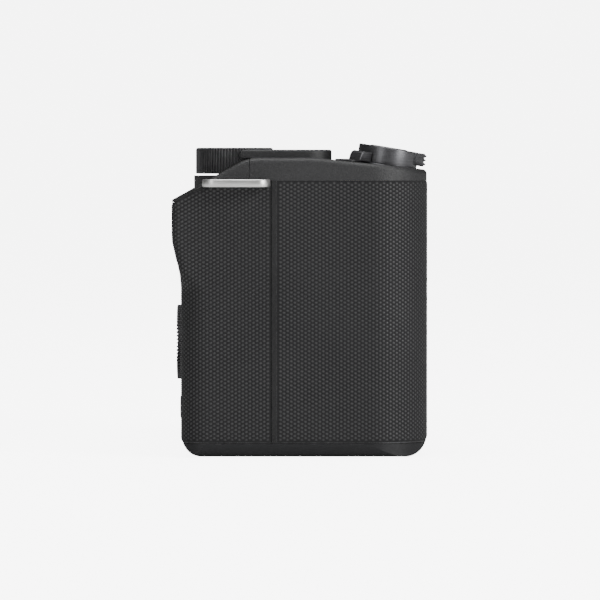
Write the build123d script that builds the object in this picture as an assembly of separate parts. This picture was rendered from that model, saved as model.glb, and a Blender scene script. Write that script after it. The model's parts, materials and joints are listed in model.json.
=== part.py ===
# Compact interchangeable-lens camera without a viewfinder, built as an assembly.
# Frame: millimetres, +Z up, lens side faces -Y, hand grip at the -X end.
# Origin: middle of the width and depth, on the plane the feet rest on.
import os
from math import acos, cos, hypot, radians, sin, tan

from build123d import *

# overall body
body_width = 114.8
foot_height = 0.2
deck_height = 63.7
front_face = -14.0
grip_front = -27.15
back_face = 25.25
thumb_back = 27.15
wall = 1.6
rubber_proud = 0.2
rubber_seat = 0.7
seam_gap = 0.1
half_width = body_width / 2

# outline radii and slopes
front_slope = 6.0
slope_start = -3.5
shoulder_slope = 29.0
shoulder_drop = 7.8
shoulder_foot = deck_height - shoulder_drop
deck_edge_round = 1.0
grip_corner = 12.0
rear_corner = 5.5
far_corner = 2.2
foot_round = 4.6
grip_width = 32.9
grip_shelf_width = 26.9
grip_inner_edge = grip_width - half_width
grip_shelf_edge = grip_shelf_width - half_width

# shell splits
cover_seam = 6.0
strip_width = 1.1
top_band = 4.8
top_seam = deck_height - top_band
top_cover_back = 10.65
base_seam = 3.1
rubber_low = 3.4
rubber_high = top_seam - 0.1
rubber_front_end = grip_inner_edge - 1.1
rear_rubber_width = 8.8
rubber_rear_end = rear_rubber_width - half_width
thumb_width = 20.4
thumb_end = thumb_width - half_width
thumb_top = deck_height - 8.4
thumb_full = thumb_top - 9.1
thumb_middle = thumb_top - 14.3
thumb_low = thumb_top - 21.1

# raised island on the deck
island_rise = 1.8
island_top = deck_height + island_rise
island_near = 9.0 - half_width
island_far = half_width - 13.4
island_front = -6.8
island_back = 13.7
island_round = 5.0
island_edge_round = 0.5

# rear command dial
dial_x = 17.8 - half_width
dial_y = 14.1
dial_radius = 8.3
dial_drop = 3.4
dial_thick = 5.6
dial_low = deck_height - dial_drop
dial_high = dial_low + dial_thick
dial_teeth = 80
dial_recess = 0.6
dial_shaft = 2.0
dial_collar = dial_low - 2.5

# shutter group on its tilted axis
shutter_x = 13.4 - half_width
shutter_y = -18.6
shutter_z = deck_height - 0.95
shutter_tilt = 9.4
button_radius = 4.0
button_proud = 0.15
button_travel = 0.7
zoom_radius = 6.45
zoom_height = 3.15
zoom_tab_reach = 8.2
zoom_tab_width = 5.0
collar_radius = 6.8
collar_tab_reach = 10.0
stem_radius = 1.5

# microphone grille and speaker under the island
grille_outline = (24.0, 40.0, -2.5, 9.5)
grille_thick = 0.6
speaker_x = -21.6
speaker_y = 4.0

# small push buttons
run_gap = 0.1
top_button_radius = 2.6
small_button_radius = 2.1
rear_button_radius = 2.4
button_rise = 0.5
rear_button_rise = 0.4

# control wheel on the back
wheel_x = 18.9 - half_width
wheel_z = 24.1
wheel_radius = 8.0
wheel_hub = 4.85
wheel_rise = 1.2
wheel_teeth = 60
wheel_well = 0.65
rocker_axis_y = 21.5
pivot_radius = 0.4
pivot_gap = 0.05

# lens mount
mount_x = 8.0
mount_z = 31.0
mount_radius = 26.8
throat_radius = 23.0
mount_face = -15.5
mount_depth = 3.3
mount_pocket = 1.0
flange_distance = 18.0
sensor_width = 23.5
sensor_height = 15.6
mount_screw_circle = 25.3
mount_screw_radius = 1.0
lock_pin_radius = 0.9
lamp_x = mount_x - 25.5
lamp_z = mount_z + 21.0
release_radius = 4.5
release_x = mount_x + 30.9
release_z = mount_z - 12.0
release_travel = 1.6

# monitor
monitor_left = 37.2 - half_width
monitor_right = half_width - 5.2
monitor_low = 4.9
monitor_high = 54.7
monitor_thick = 4.2
monitor_gap = 0.35
monitor_swing_gap = 0.8
monitor_floor = 18.6
monitor_floor_wall = 1.2
hinge_x = half_width - 1.8
hinge_y = 23.55
hinge_radius = 1.6
hinge_low = 14.0
hinge_high = 44.0
hinge_pin = 0.8

# battery, card and their door
battery_width = 18.5
battery_depth = 31.8
battery_height = 45.0
battery_x = 15.8 - half_width
battery_y = -3.4
battery_low = 4.6
box_gap = 0.3
box_wall = 1.0
card_thick = 2.1
card_width = 24.0
card_height = 32.0
card_x = 30.0 - half_width
card_y = 2.5
card_low = 4.6
door_thick = 1.5
door_gap = 0.2
door_left = 4.2 - half_width
door_right = rubber_front_end
door_front = -20.5
door_step_x = grip_shelf_edge
door_step_y = -10.4
door_back = 16.5
door_hinge_radius = 0.7
door_hinge_x = door_left - 0.7
door_pin = 0.35

# straps, sockets, ports
lug_front = 6.3
lug_back = 20.7
lug_thick = 1.7
lug_high = top_seam + 0.3
lug_low = lug_high - lug_thick
lug_reach = 5.2
lug_round = 3.0
lug_slot = 2.4
tripod_bore = 3.175
tripod_flange = 6.0
tripod_y = 0.0
tripod_height = 4.6
port_front = -7.0
port_back = 3.9
port_hinge_y = 4.5
port_thick = 1.2
port_hinge_radius = 0.6
port_low_bottom = 12.0
port_low_top = 32.0
port_high_bottom = 35.0
port_high_top = 55.0

# accessory shoe
shoe_x = 8.0
shoe_slot_width = 18.6
shoe_slot_height = 2.2
shoe_opening = 12.7
shoe_floor = deck_height - 1.6
shoe_front = -5.5
shoe_back = 12.5
shoe_wall = 1.2

# cutting blocks run this far past the body
beyond = 200.0
button_low = deck_height - 3.3
board_low = deck_height - 6.1
board_high = deck_height - 5.3

SIDE = Plane(origin=(0, 0, 0), x_dir=(0, 1, 0), z_dir=(1, 0, 0))
FRONT = Plane(origin=(0, 0, 0), x_dir=(1, 0, 0), z_dir=(0, -1, 0))
parts = {}


def add_to(name, shape):
    # pieces of the same kind that never move apart share one node
    parts[name] = shape if name not in parts else parts[name] + shape


def shifted_corners(corners, inset):
    # each corner is x, y and rounding; the outline runs anticlockwise and moves inwards by the inset
    lines = []
    for i in range(len(corners)):
        ax, ay, _ = corners[i]
        bx, by, _ = corners[(i + 1) % len(corners)]
        length = hypot(bx - ax, by - ay)
        ux = (bx - ax) / length
        uy = (by - ay) / length
        lines.append((ax - uy * inset, ay + ux * inset, ux, uy))
    moved = []
    for i in range(len(corners)):
        px, py, ux, uy = lines[i - 1]
        qx, qy, vx, vy = lines[i]
        cross = ux * vy - uy * vx
        t = ((qx - px) * vy - (qy - py) * vx) / cross
        radius = corners[i][2]
        if radius > 0:
            radius = radius - inset if cross > 0 else radius + inset
        moved.append((px + ux * t, py + uy * t, max(radius, 0.0)))
    return moved


def corner_arc(before, here, after):
    px, py, r = here
    if r < 0.02:
        return (px, py), None, (px, py)
    la = hypot(before[0] - px, before[1] - py)
    lb = hypot(after[0] - px, after[1] - py)
    ux = (before[0] - px) / la
    uy = (before[1] - py) / la
    vx = (after[0] - px) / lb
    vy = (after[1] - py) / lb
    half = acos(max(-1.0, min(1.0, ux * vx + uy * vy))) / 2
    t = r / tan(half)
    m = hypot(ux + vx, uy + vy)
    d = r / sin(half) - r
    middle = (px + (ux + vx) / m * d, py + (uy + vy) / m * d)
    return (px + ux * t, py + uy * t), middle, (px + vx * t, py + vy * t)


def rounded_face(corners, inset=0.0):
    points = shifted_corners(corners, inset)
    count = len(points)
    arcs = [corner_arc(points[i - 1], points[i], points[(i + 1) % count]) for i in range(count)]
    edges = []
    for i in range(count):
        start, middle, end = arcs[i]
        if middle is not None:
            edges.append(ThreePointArc(start, middle, end))
        following = arcs[(i + 1) % count][0]
        if hypot(following[0] - end[0], following[1] - end[1]) > 1e-4:
            edges.append(Line(end, following))
    return Face(Wire(edges))


def plan_prism(corners, low, high, inset=0.0):
    return extrude(Pos(0, 0, low) * rounded_face(corners, inset), amount=high - low, dir=(0, 0, 1))


def side_prism(corners, low, high, inset=0.0):
    return extrude(Pos(low, 0, 0) * (SIDE * rounded_face(corners, inset)), amount=high - low, dir=(1, 0, 0))


def front_prism(corners, low, high, inset=0.0):
    return extrude(Pos(0, low, 0) * (FRONT * rounded_face(corners, inset)), amount=high - low, dir=(0, 1, 0))


def block(x0, x1, y0, y1, z0, z1):
    return Pos((x0 + x1) / 2, (y0 + y1) / 2, (z0 + z1) / 2) * Box(x1 - x0, y1 - y0, z1 - z0)


def upright(x, y, z0, z1, radius):
    return Pos(x, y, (z0 + z1) / 2) * Cylinder(radius, z1 - z0)


def across_y(x, z, y0, y1, radius):
    return Pos(x, (y0 + y1) / 2, z) * Rot(90, 0, 0) * Cylinder(radius, y1 - y0)


def across_x(y, z, x0, x1, radius):
    return Pos((x0 + x1) / 2, y, z) * Rot(0, 90, 0) * Cylinder(radius, x1 - x0)


def on_shutter_axis(shape):
    return Pos(shutter_x, shutter_y, shutter_z) * Rot(shutter_tilt, 0, 0) * shape


def rod(radius, low, high):
    return Pos(0, 0, (low + high) / 2) * Cylinder(radius, high - low)


def deck_at(y):
    return deck_height - max(0.0, slope_start - y) * tan(radians(front_slope))


def end_profile(inset):
    return front_prism(
        [
            (-half_width, foot_height, 2.5),
            (half_width, foot_height, 2.5),
            (half_width, beyond, 0),
            (-half_width, beyond, 0),
        ],
        -beyond,
        beyond,
        inset,
    )


def rounded_rim(form, plan, inset):
    # rounds the top edges that lie on the outline of the plan; inner forms stay sharp
    if inset > 0:
        return form
    core = plan_prism(plan, -beyond, beyond, inset + 0.05)
    lowest = shoulder_foot + 3.1
    rim = [e for e in form.edges() if (e @ 0.5).Z > lowest and not core.is_inside(e @ 0.5)]
    return fillet(rim, deck_edge_round - inset)


def main_form(inset):
    shoulder_start = back_face - (deck_height - shoulder_foot) / tan(radians(shoulder_slope))
    plan = [
        (-half_width, front_face, 3.0),
        (half_width, front_face, 6.0),
        (half_width, back_face, far_corner),
        (-half_width, back_face, rear_corner),
    ]
    side = [
        (front_face, foot_height, 3.5),
        (back_face, foot_height, foot_round),
        (back_face, shoulder_foot, 1.2),
        (shoulder_start, deck_height, 9.0),
        (slope_start, deck_height, 20.0),
        (front_face, deck_at(front_face), 0),
    ]
    form = plan_prism(plan, -1, beyond, inset) & side_prism(side, -beyond, beyond, inset) & end_profile(inset)
    return rounded_rim(form, plan, inset)


def grip_form(inset):
    plan = [
        (-half_width, 5, 0),
        (-half_width, grip_front, grip_corner),
        (grip_shelf_edge, grip_front, 7.0),
        (grip_inner_edge, front_face + 0.01, 0),
        (grip_inner_edge, 5, 0),
    ]
    side = [
        (grip_front, foot_height, foot_round),
        (5, foot_height, 0),
        (5, deck_height, 0),
        (slope_start, deck_height, 20.0),
        (grip_front, deck_at(grip_front), 0),
    ]
    form = plan_prism(plan, -1, beyond, inset) & side_prism(side, -beyond, beyond, inset) & end_profile(inset)
    return rounded_rim(form, plan, inset)


def thumb_form(inset):
    plan = [
        (-half_width, 15, 0),
        (thumb_end, 15, 0),
        (thumb_end, thumb_back, 2.0),
        (-half_width, thumb_back, 1.4),
    ]
    side = [
        (15.5, thumb_low - 1.2, 0),
        (21.0, thumb_low, 1.0),
        (25.9, thumb_middle, 3.0),
        (thumb_back, thumb_full, 8.0),
        (thumb_back, thumb_top, 1.0),
        (15.5, thumb_top + 4.2, 0),
    ]
    upper = plan_prism(plan, 0, beyond, inset) & side_prism(side, -beyond, beyond, inset)
    return upper & main_back_limit(inset)


def main_back_limit(inset):
    shoulder_start = back_face - (deck_height - shoulder_foot) / tan(radians(shoulder_slope))
    side = [
        (-30, 0, 0),
        (40, 0, 0),
        (40, shoulder_foot - 14.75 * tan(radians(shoulder_slope)), 0),
        (shoulder_start, deck_height, 0),
        (-30, deck_height, 0),
    ]
    return side_prism(side, -beyond, beyond, inset)


def body_form(inset):
    return main_form(inset) + grip_form(inset) + thumb_form(inset)


def region(x0, x1, y0, y1, z0, z1):
    return block(x0, x1, y0, y1, z0, z1)


def rear_rubber_region():
    side = [
        (cover_seam + seam_gap, rubber_low, 0),
        (30, rubber_low, 0),
        (30, rubber_high - 5.9, 0),
        (25.1, rubber_high - 3.6, 0),
        (20.4, rubber_high - 1.4, 0),
        (14.0, rubber_high, 0),
        (cover_seam + seam_gap, rubber_high, 0),
    ]
    low = side_prism(side, -beyond, rubber_rear_end)
    high = side_prism(side, -beyond, thumb_end + 0.01) & region(-beyond, 0, 0, 30, thumb_middle, beyond)
    return low + high


def rubber_nodes(seat):
    skin = body_form(-rubber_proud) - seat
    front = skin & region(
        -beyond, rubber_front_end, -beyond, cover_seam - strip_width, rubber_low, rubber_high
    )
    rear = skin & rear_rubber_region()
    rear = rear - lug_root(-1, 0.0)
    parts["grip_front_rubber"] = front
    parts["grip_rear_rubber"] = rear
    return front, rear


def lug_plate(side):
    outer = side * (half_width + lug_reach)
    inner = side * (half_width - 2.2)
    xs = sorted((outer, inner))
    corners = [(xs[0], lug_front, 0), (xs[1], lug_front, 0), (xs[1], lug_back, 0), (xs[0], lug_back, 0)]
    rounding = [lug_round, 0, 0, lug_round] if side < 0 else [0, lug_round, lug_round, 0]
    plate = plan_prism([(c[0], c[1], r) for c, r in zip(corners, rounding)], lug_low, lug_high)
    x_mid = side * (half_width + lug_reach - 1.5 - lug_slot / 2)
    slot = [
        (x_mid - lug_slot / 2, lug_front + 2.4, 1.1),
        (x_mid + lug_slot / 2, lug_front + 2.4, 1.1),
        (x_mid + lug_slot / 2, lug_back - 2.4, 1.1),
        (x_mid - lug_slot / 2, lug_back - 2.4, 1.1),
    ]
    return plate - plan_prism(slot, lug_low - 1, lug_high + 1)


def lug_root(side, gap):
    xs = sorted((side * (half_width + 1.0), side * (half_width - 2.2)))
    return region(xs[0], xs[1], lug_front - gap, lug_back + gap, lug_low - gap, lug_high + gap)


def island():
    plan = [
        (island_near, island_front, island_round),
        (island_far, island_front, island_round),
        (island_far, island_back, island_round),
        (island_near, island_back, 0.6),
    ]
    shape = plan_prism(plan, deck_height - island_rise, island_top)
    shape = fillet(shape.edges().group_by(Axis.Z)[-1], island_edge_round)
    return shape - upright(dial_x, dial_y, dial_collar, beyond, dial_radius + dial_recess)


def shoe_recess():
    half = shoe_slot_width / 2 + shoe_wall
    return region(
        shoe_x - half, shoe_x + half, shoe_front, island_back + 1, shoe_floor - 0.7, island_top + 1
    )


def top_openings():
    cut = on_shutter_axis(rod(collar_radius + 0.25, -1.5, 4))
    cut = cut + on_shutter_axis(rod(stem_radius + 0.3, -12, 0))
    cut = cut + shoe_recess()
    x, y = record_place()
    cut = cut + upright(x, y, button_low - 9, beyond, top_button_radius + run_gap)
    for x, y in small_top_places():
        cut = cut + upright(x, y, button_low - 9, beyond, small_button_radius + run_gap)
    x0, x1, y0, y1 = grille_outline
    cut = cut + region(x0, x1, y0, y1, island_top - grille_thick, beyond)
    cut = cut + region(x0 + 1.5, x1 - 1.5, y0 + 1.5, y1 - 1.5, button_low - 9, beyond)
    for i in range(5):
        cut = cut + upright(speaker_x + 2.2 * (i - 2), speaker_y, button_low - 9, beyond, 0.5)
    return cut


def record_place():
    return (grip_inner_edge - 7.0, -12.0)


def small_top_places():
    return [(grip_inner_edge + 4.0, -9.8), (grip_inner_edge + 11.5, -9.8)]


def dial_pocket():
    pocket = upright(dial_x, dial_y, dial_low - 0.35, beyond, dial_radius + dial_recess)
    pocket = pocket + upright(dial_x, dial_y, dial_collar - 2.4, beyond, dial_shaft + 0.05)
    return pocket


def dial_base():
    # the collar under the dial stands out of the sloping shoulder
    return upright(dial_x, dial_y, dial_collar - 1.2, dial_low - 0.35, dial_radius + 0.4)


def shell_nodes():
    outer = body_form(0.0)
    inner = body_form(wall)
    seat = body_form(rubber_seat)
    front_rubber, rear_rubber = rubber_nodes(seat)
    shell = outer - inner
    shell = shell - (front_rubber + rear_rubber)
    w = beyond
    top_part = region(-w, w, -w, top_cover_back, top_seam, w)
    rear_part = region(-w, w, cover_seam + seam_gap, w, base_seam, w)
    rear_part = rear_part - region(-w, w, -w, top_cover_back + seam_gap, top_seam - seam_gap, w)
    front_part = region(-w, w, -w, cover_seam, base_seam, top_seam - seam_gap)
    top_cover(shell & top_part)
    front_cover(shell & front_part)
    rear_cover(shell & rear_part, outer, rear_rubber)
    bottom_cover(shell & region(-w, w, -w, w, -1, base_seam - seam_gap))


def top_cover(shell):
    cover = shell + island()
    tray = region(shoe_x - 12, shoe_x + 12, shoe_front - 1.2, top_cover_back, deck_height - 3.5, deck_height)
    seat = on_shutter_axis(rod(collar_radius + 1.6, -2.6, -0.9)) & body_form(0.5)
    cover = cover + tray + seat
    cover = cover - region(-beyond, beyond, top_cover_back, beyond, 0, deck_height)
    cover = cover - top_openings() - dial_pocket()
    cover = cover - lug_root(-1, 0.0) - lug_root(1, 0.0)
    parts["top_cover"] = cover


def front_cover(shell):
    cover = shell
    cover = cover - across_y(mount_x, mount_z, -20, -5, mount_radius + 0.1)
    cover = cover - across_y(release_x, release_z, -20, -5, release_radius + run_gap)
    cover = cover - across_y(lamp_x, lamp_z, -20, -5, 2.2)
    cover = cover - lug_root(1, 0.0) - lug_root(-1, 0.0)
    for low, high in port_bays():
        z0 = low - door_gap
        z1 = high + door_gap
        cover = cover - region(half_width - 7.4, beyond, port_front - door_gap, port_hinge_y + 0.9, z0, z1)
        cover = cover - upright(half_width - 0.7, port_hinge_y, low - 1.4, high + 1.4, door_pin)
    parts["front_cover"] = cover


def port_bays():
    return [(port_low_bottom, port_low_top), (port_high_bottom, port_high_top)]


def rear_cover(shell, outer, rubber):
    gap = monitor_gap
    x0 = monitor_left - gap
    x1 = monitor_right + monitor_swing_gap
    z0 = monitor_low - gap
    z1 = monitor_high + gap
    w = monitor_floor_wall
    tub = region(x0 - w, x1 + w, monitor_floor - w, 30, z0 - w, z1 + w) & outer
    knuckles = region(x1 + 0.4, half_width, 20.0, 30, z0, z1) & outer
    collar = dial_base() & region(-beyond, beyond, top_cover_back + seam_gap, beyond, 0, beyond)
    wheel_rim = across_y(wheel_x, wheel_z, 23.0, back_face, wheel_radius + wheel_well + 1.0) & outer
    cover = shell + tub + knuckles + collar + wheel_rim
    cover = cover - region(x0, x1, monitor_floor, 40, z0, z1)
    notch = region(x1 - 1, half_width + 1, 20.0, 30, hinge_low - door_gap, hinge_high + door_gap)
    cover = cover - notch
    cover = cover - upright(hinge_x, hinge_y, hinge_low - 3, hinge_high + 3, hinge_pin)
    cover = cover - across_y(wheel_x, wheel_z, 20, 30, wheel_radius + wheel_well)
    cover = cover - shoe_recess()
    for x, z in rear_button_places():
        cover = cover - across_y(x, z, 20, 30, rear_button_radius + run_gap)
    cover = cover - (dial_pocket() & region(-beyond, beyond, 0, beyond, 0, beyond))
    cover = cover - lug_root(-1, 0.0) - lug_root(1, 0.0)
    cover = cover - rubber
    parts["rear_cover"] = cover


def rear_button_places():
    near = monitor_left - 7.1
    return [(near, 47.5), (near, 37.5), (wheel_x - 6.5, 10.4), (wheel_x + 6.5, 10.4)]


def door_outline(grow):
    return [
        (door_left - grow, door_front - grow, 1.0),
        (door_step_x + grow, door_front - grow, 1.0),
        (door_step_x + grow, door_step_y - grow, 0.6),
        (door_right + grow, door_step_y - grow, 1.0),
        (door_right + grow, door_back + grow, 1.0),
        (door_left - grow, door_back + grow, 1.0),
    ]


def bottom_cover(shell):
    cover = shell
    for x, y in [(half_width - 7.4, 17), (half_width - 7.4, -8), (9.4 - half_width, 20), (shutter_x, -22.4)]:
        cover = cover + upright(x, y, 0, foot_height + 0.3, 1.6)
    cover = cover - plan_prism(door_outline(door_gap), -1, 10)
    bay = region(door_hinge_x - 0.95, door_left + 0.2, door_front - door_gap, door_back + door_gap, -1, 10)
    cover = cover - bay
    cover = cover - across_y(
        door_hinge_x, foot_height + door_hinge_radius + 0.05, door_front - 1.6, door_back + 1.6, door_pin
    )
    cover = cover - upright(mount_x, tripod_y, -1, 10, tripod_flange)
    for x, y in base_screw_places():
        cover = cover - upright(x, y, -1, 10, 1.5)
    parts["bottom_cover"] = cover


def base_screw_places():
    near = monitor_left + 5.2
    return [(half_width - 5.4, 5.0), (near, 19.0), (half_width - 21.4, -9.5), (near, -9.5)]


def shutter_nodes():
    cap = rod(button_radius, 1.35, zoom_height + button_proud)
    cap = cap + rod(stem_radius, -2.6, 1.35)
    parts["shutter_button"] = on_shutter_axis(cap)
    ring = rod(zoom_radius, 0.0, zoom_height) - rod(button_radius + run_gap, 0.5, 5)
    ring = ring - rod(stem_radius + 0.3, -1, 1)
    x = zoom_tab_width / 2
    tab = block(-x, x, -zoom_tab_reach + 0.35, -zoom_radius + 0.8, 0.9, 3.3)
    for i in range(3):
        tab = tab + block(-x, x, -zoom_tab_reach, -zoom_tab_reach + 0.4, 1.1 + 0.8 * i, 1.55 + 0.8 * i)
    parts["zoom_lever"] = on_shutter_axis(ring + (tab - rod(zoom_radius - 0.5, 0, 4)))
    collar = rod(collar_radius, -1.2, -0.15) - rod(stem_radius + 0.3, -2, 1)
    foot = block(5.5, collar_tab_reach, -1.7, 1.7, -0.6, -0.15)
    grip = block(zoom_radius + 0.4, collar_tab_reach, -1.7, 1.7, -0.6, 1.5)
    collar = collar + Rot(0, 0, 135) * (foot + grip)
    parts["power_switch"] = on_shutter_axis(collar)


def tooth_ring(radius, depth, count, low, high):
    width = 3.1416 * radius / count
    slots = PolarLocations(radius, count) * Box(depth * 2, width, high - low + 1)
    return [Pos(0, 0, (low + high) / 2) * slot for slot in slots]


def dial_nodes():
    disc = Cylinder(dial_radius, dial_high - dial_low)
    knurl = tooth_ring(dial_radius, 0.22, dial_teeth, -2.2, 1.6)
    disc = Pos(dial_x, dial_y, (dial_low + dial_high) / 2) * (disc - knurl)
    shaft = upright(dial_x, dial_y, dial_collar - 2.0, dial_low, dial_shaft)
    parts["rear_dial"] = disc + shaft


def push_button(x, y, low, high, radius):
    cap = upright(x, y, low, high, radius)
    flange = upright(x, y, low - 0.8, low, radius + 0.35)
    return cap + flange


def top_button_nodes():
    x, y = record_place()
    parts["record_button"] = push_button(x, y, button_low, deck_at(y) + button_rise, top_button_radius)
    names = ["custom_button", "mode_button"]
    for (x, y), name in zip(small_top_places(), names):
        parts[name] = push_button(x, y, button_low, deck_at(y) + button_rise, small_button_radius)
    board = region(-beyond, monitor_left + 11.2, -24, -7.6, board_low, board_high) & body_form(wall + 0.4)
    board = board - region(-beyond, 7.4 - half_width, -beyond, beyond, 0, beyond)
    add_to("switch_boards", board)
    x, y = record_place()
    domes = upright(x, y, board_high, board_high + 0.6, 1.2)
    for x, y in small_top_places():
        domes = domes + upright(x, y, board_high, board_high + 0.6, 1.2)
    domes = domes + upright(shutter_x, shutter_y + 0.5, board_high, board_high + 0.7, 1.2)
    add_to("tactile_switches", domes)


def rear_button_nodes():
    names = ["menu_button", "function_button", "playback_button", "delete_button"]
    for (x, z), name in zip(rear_button_places(), names):
        cap = across_y(x, z, 23.2, back_face + rear_button_rise, rear_button_radius)
        flange = across_y(x, z, 22.4, 23.2, rear_button_radius + 0.5)
        parts[name] = cap + flange
    pads = None
    for x, z in rear_button_places():
        pad = across_y(x, z, 20.4, 21.4, 1.3)
        pads = pad if pads is None else pads + pad
    add_to("tactile_switches", pads)
    board = region(wheel_x - 10.0, monitor_left - 2.2, 19.6, 20.4, 6.0, 52.0)
    board = board - across_y(wheel_x, wheel_z, 19, 21, wheel_radius + 2.2)
    add_to("switch_boards", board)


def wheel_nodes():
    y = rocker_axis_y
    top = back_face + wheel_rise
    wheel = across_y(0, 0, 24.25, top, wheel_radius)
    knurl = [
        Pos(0, (24.25 + top) / 2, 0) * Rot(90, 0, 0) * slot
        for slot in tooth_ring(wheel_radius, 0.25, wheel_teeth, 0, top - 24.25 - 0.6)
    ]
    wheel = wheel - knurl - across_y(0, 0, 20, 30, wheel_hub + run_gap)
    parts["control_wheel"] = Pos(wheel_x, 0, wheel_z) * wheel
    carrier = across_y(0, 0, 22.7, 23.7, 7.2) + across_y(0, 0, 23.7, top - 0.3, wheel_hub)
    carrier = carrier - across_y(0, 0, 24.2, 30, wheel_hub - 0.45)
    for side in (-1, 1):
        carrier = carrier + block(-0.9, 0.9, y - 0.8, 22.7, side * 4.9 - 0.6, side * 4.9 + 0.6)
        carrier = carrier + Pos(0, y, side * 5.9) * Cylinder(pivot_radius, 1.8)
    parts["wheel_carrier"] = Pos(wheel_x, 0, wheel_z) * carrier
    ring = across_y(0, 0, y - 0.5, y + 0.5, 7.6) - across_y(0, 0, 20, 30, 6.0)
    ring = ring - Cylinder(pivot_radius + pivot_gap, 14.4).moved(Location((0, y, 0)))
    for side in (-1, 1):
        ring = ring + across_x(y, 0, side * 8.2 - 0.9, side * 8.2 + 0.9, pivot_radius)
    parts["wheel_rocker_ring"] = Pos(wheel_x, 0, wheel_z) * ring
    base = across_y(0, 0, 19.4, 20.3, 10.0)
    for side in (-1, 1):
        base = base + block(side * 8.7 - 0.6, side * 8.7 + 0.6, 20.3, y + 1.0, -1.6, 1.6)
        base = base - across_x(y, 0, side * 8.7 - 1, side * 8.7 + 1, pivot_radius + pivot_gap)
    parts["wheel_base"] = Pos(wheel_x, 0, wheel_z) * base
    parts["wheel_center_button"] = Pos(wheel_x, 0, wheel_z) * across_y(
        0, 0, 24.8, top - 0.15, wheel_hub - 0.45 - run_gap
    )


def mount_nodes():
    back = mount_face + mount_depth
    ring = across_y(0, 0, mount_face, back, mount_radius)
    ring = ring - across_y(0, 0, -30, 0, throat_radius + mount_pocket)
    for i in range(3):
        lug = across_y(0, 0, mount_face, mount_face + 1.3, throat_radius + mount_pocket)
        lug = lug - across_y(0, 0, -30, 0, throat_radius)
        sector = Rot(0, 120 * i, 0) * region(10, 40, -30, 0, -15, 15)
        ring = ring + (lug & sector)
    for i in range(4):
        ring = ring - Rot(0, 90 * i + 40, 0) * across_y(mount_screw_circle, 0, -30, 0, mount_screw_radius)
    ring = ring - Rot(0, 15, 0) * across_y(mount_screw_circle, 0, -30, 0, lock_pin_radius + run_gap)
    parts["lens_mount_ring"] = Pos(mount_x, 0, mount_z) * ring
    screws = None
    for i in range(4):
        screw = Rot(0, 90 * i + 40, 0) * (
            across_y(mount_screw_circle, 0, mount_face + 0.2, back, mount_screw_radius)
            - Pos(mount_screw_circle, mount_face + 0.2, 0) * Box(1.6, 0.9, 0.35)
        )
        screws = screw if screws is None else screws + screw
    add_to("machine_screws", Pos(mount_x, 0, mount_z) * screws)
    pin = Rot(0, 15, 0) * across_y(mount_screw_circle, 0, mount_face - 1.1, back + 4.0, lock_pin_radius)
    parts["lens_lock_pin"] = Pos(mount_x, 0, mount_z) * pin
    cap = across_y(release_x, release_z, front_face - 0.9, -10.4, release_radius)
    cap = cap + across_y(release_x, release_z, -12.0, -10.4, release_radius + 0.5)
    parts["lens_release_button"] = cap
    chassis_nodes(back)


def chassis_nodes(back):
    plate = region(mount_x - 28.6, mount_x + 25.4, back, back + 1.8, 3.6, 57.2)
    plate = plate - across_y(mount_x, mount_z, -30, 10, throat_radius + mount_pocket)
    tube = across_y(mount_x, mount_z, back + 1.8, 0.6, throat_radius + mount_pocket + 0.9)
    tube = tube - across_y(mount_x, mount_z, -30, 10, throat_radius + mount_pocket - 0.2)
    frame = plate + tube
    frame = frame + region(mount_x - 28.6, mount_x + 28.6, 0.6, 1.8, 5.2, 57.2)
    frame = frame - region(mount_x - 17, mount_x + 17, 0, 5, mount_z - 13, mount_z + 13)
    frame = frame - Pos(mount_x, 0, mount_z) * Rot(0, 15, 0) * across_y(
        mount_screw_circle, 0, -30, 0, lock_pin_radius + run_gap
    )
    parts["chassis_frame"] = frame
    contacts = region(mount_x - 9, mount_x + 9, back - 1.6, back + 1.4, mount_z - 24.4, mount_z - 19.8)
    contacts = contacts & across_y(mount_x, mount_z, -30, 10, throat_radius + mount_pocket)
    parts["mount_contact_block"] = contacts
    pins = None
    for i in range(10):
        pin = across_y(mount_x - 7.2 + 1.6 * i, mount_z - 21.2, back - 1.9, back - 1.6, 0.45)
        pins = pin if pins is None else pins + pin
    parts["mount_contacts"] = pins


def sensor_nodes():
    plane = mount_face + flange_distance
    x = mount_x
    z = mount_z
    glass = region(x - 15, x + 15, plane - 2.0, plane - 0.6, z - 11, z + 11)
    parts["sensor_filter_glass"] = glass
    body = region(x - 14, x + 14, plane - 0.6, plane + 1.4, z - 10.2, z + 10.2)
    body = body - region(
        x - sensor_width / 2,
        x + sensor_width / 2,
        plane - 1,
        plane,
        z - sensor_height / 2,
        z + sensor_height / 2,
    )
    parts["image_sensor"] = body
    carrier = region(x - 20, x + 20, plane - 0.65, plane + 2.6, z - 16.5, z + 16.5)
    carrier = carrier - region(x - 16.2, x + 16.2, plane - 3, plane + 1.4, z - 12.2, z + 12.2)
    parts["sensor_carrier"] = carrier
    parts["heat_plate"] = region(x - 22, x + 24, plane + 3.0, plane + 3.8, z - 20, z + 20)
    board = region(mount_x - 29, mount_x + 42, 9.0, 10.0, 7.0, 54.5)
    parts["main_board"] = board
    chips = region(x - 10, x + 6, 7.6, 9.0, 24, 40) + region(x + 12, x + 22, 7.8, 9.0, 30, 42)
    chips = chips + region(x - 24, x - 15, 7.8, 9.0, 12, 20) + region(x + 26, x + 36, 7.8, 9.0, 12, 24)
    parts["board_chips"] = chips


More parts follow.
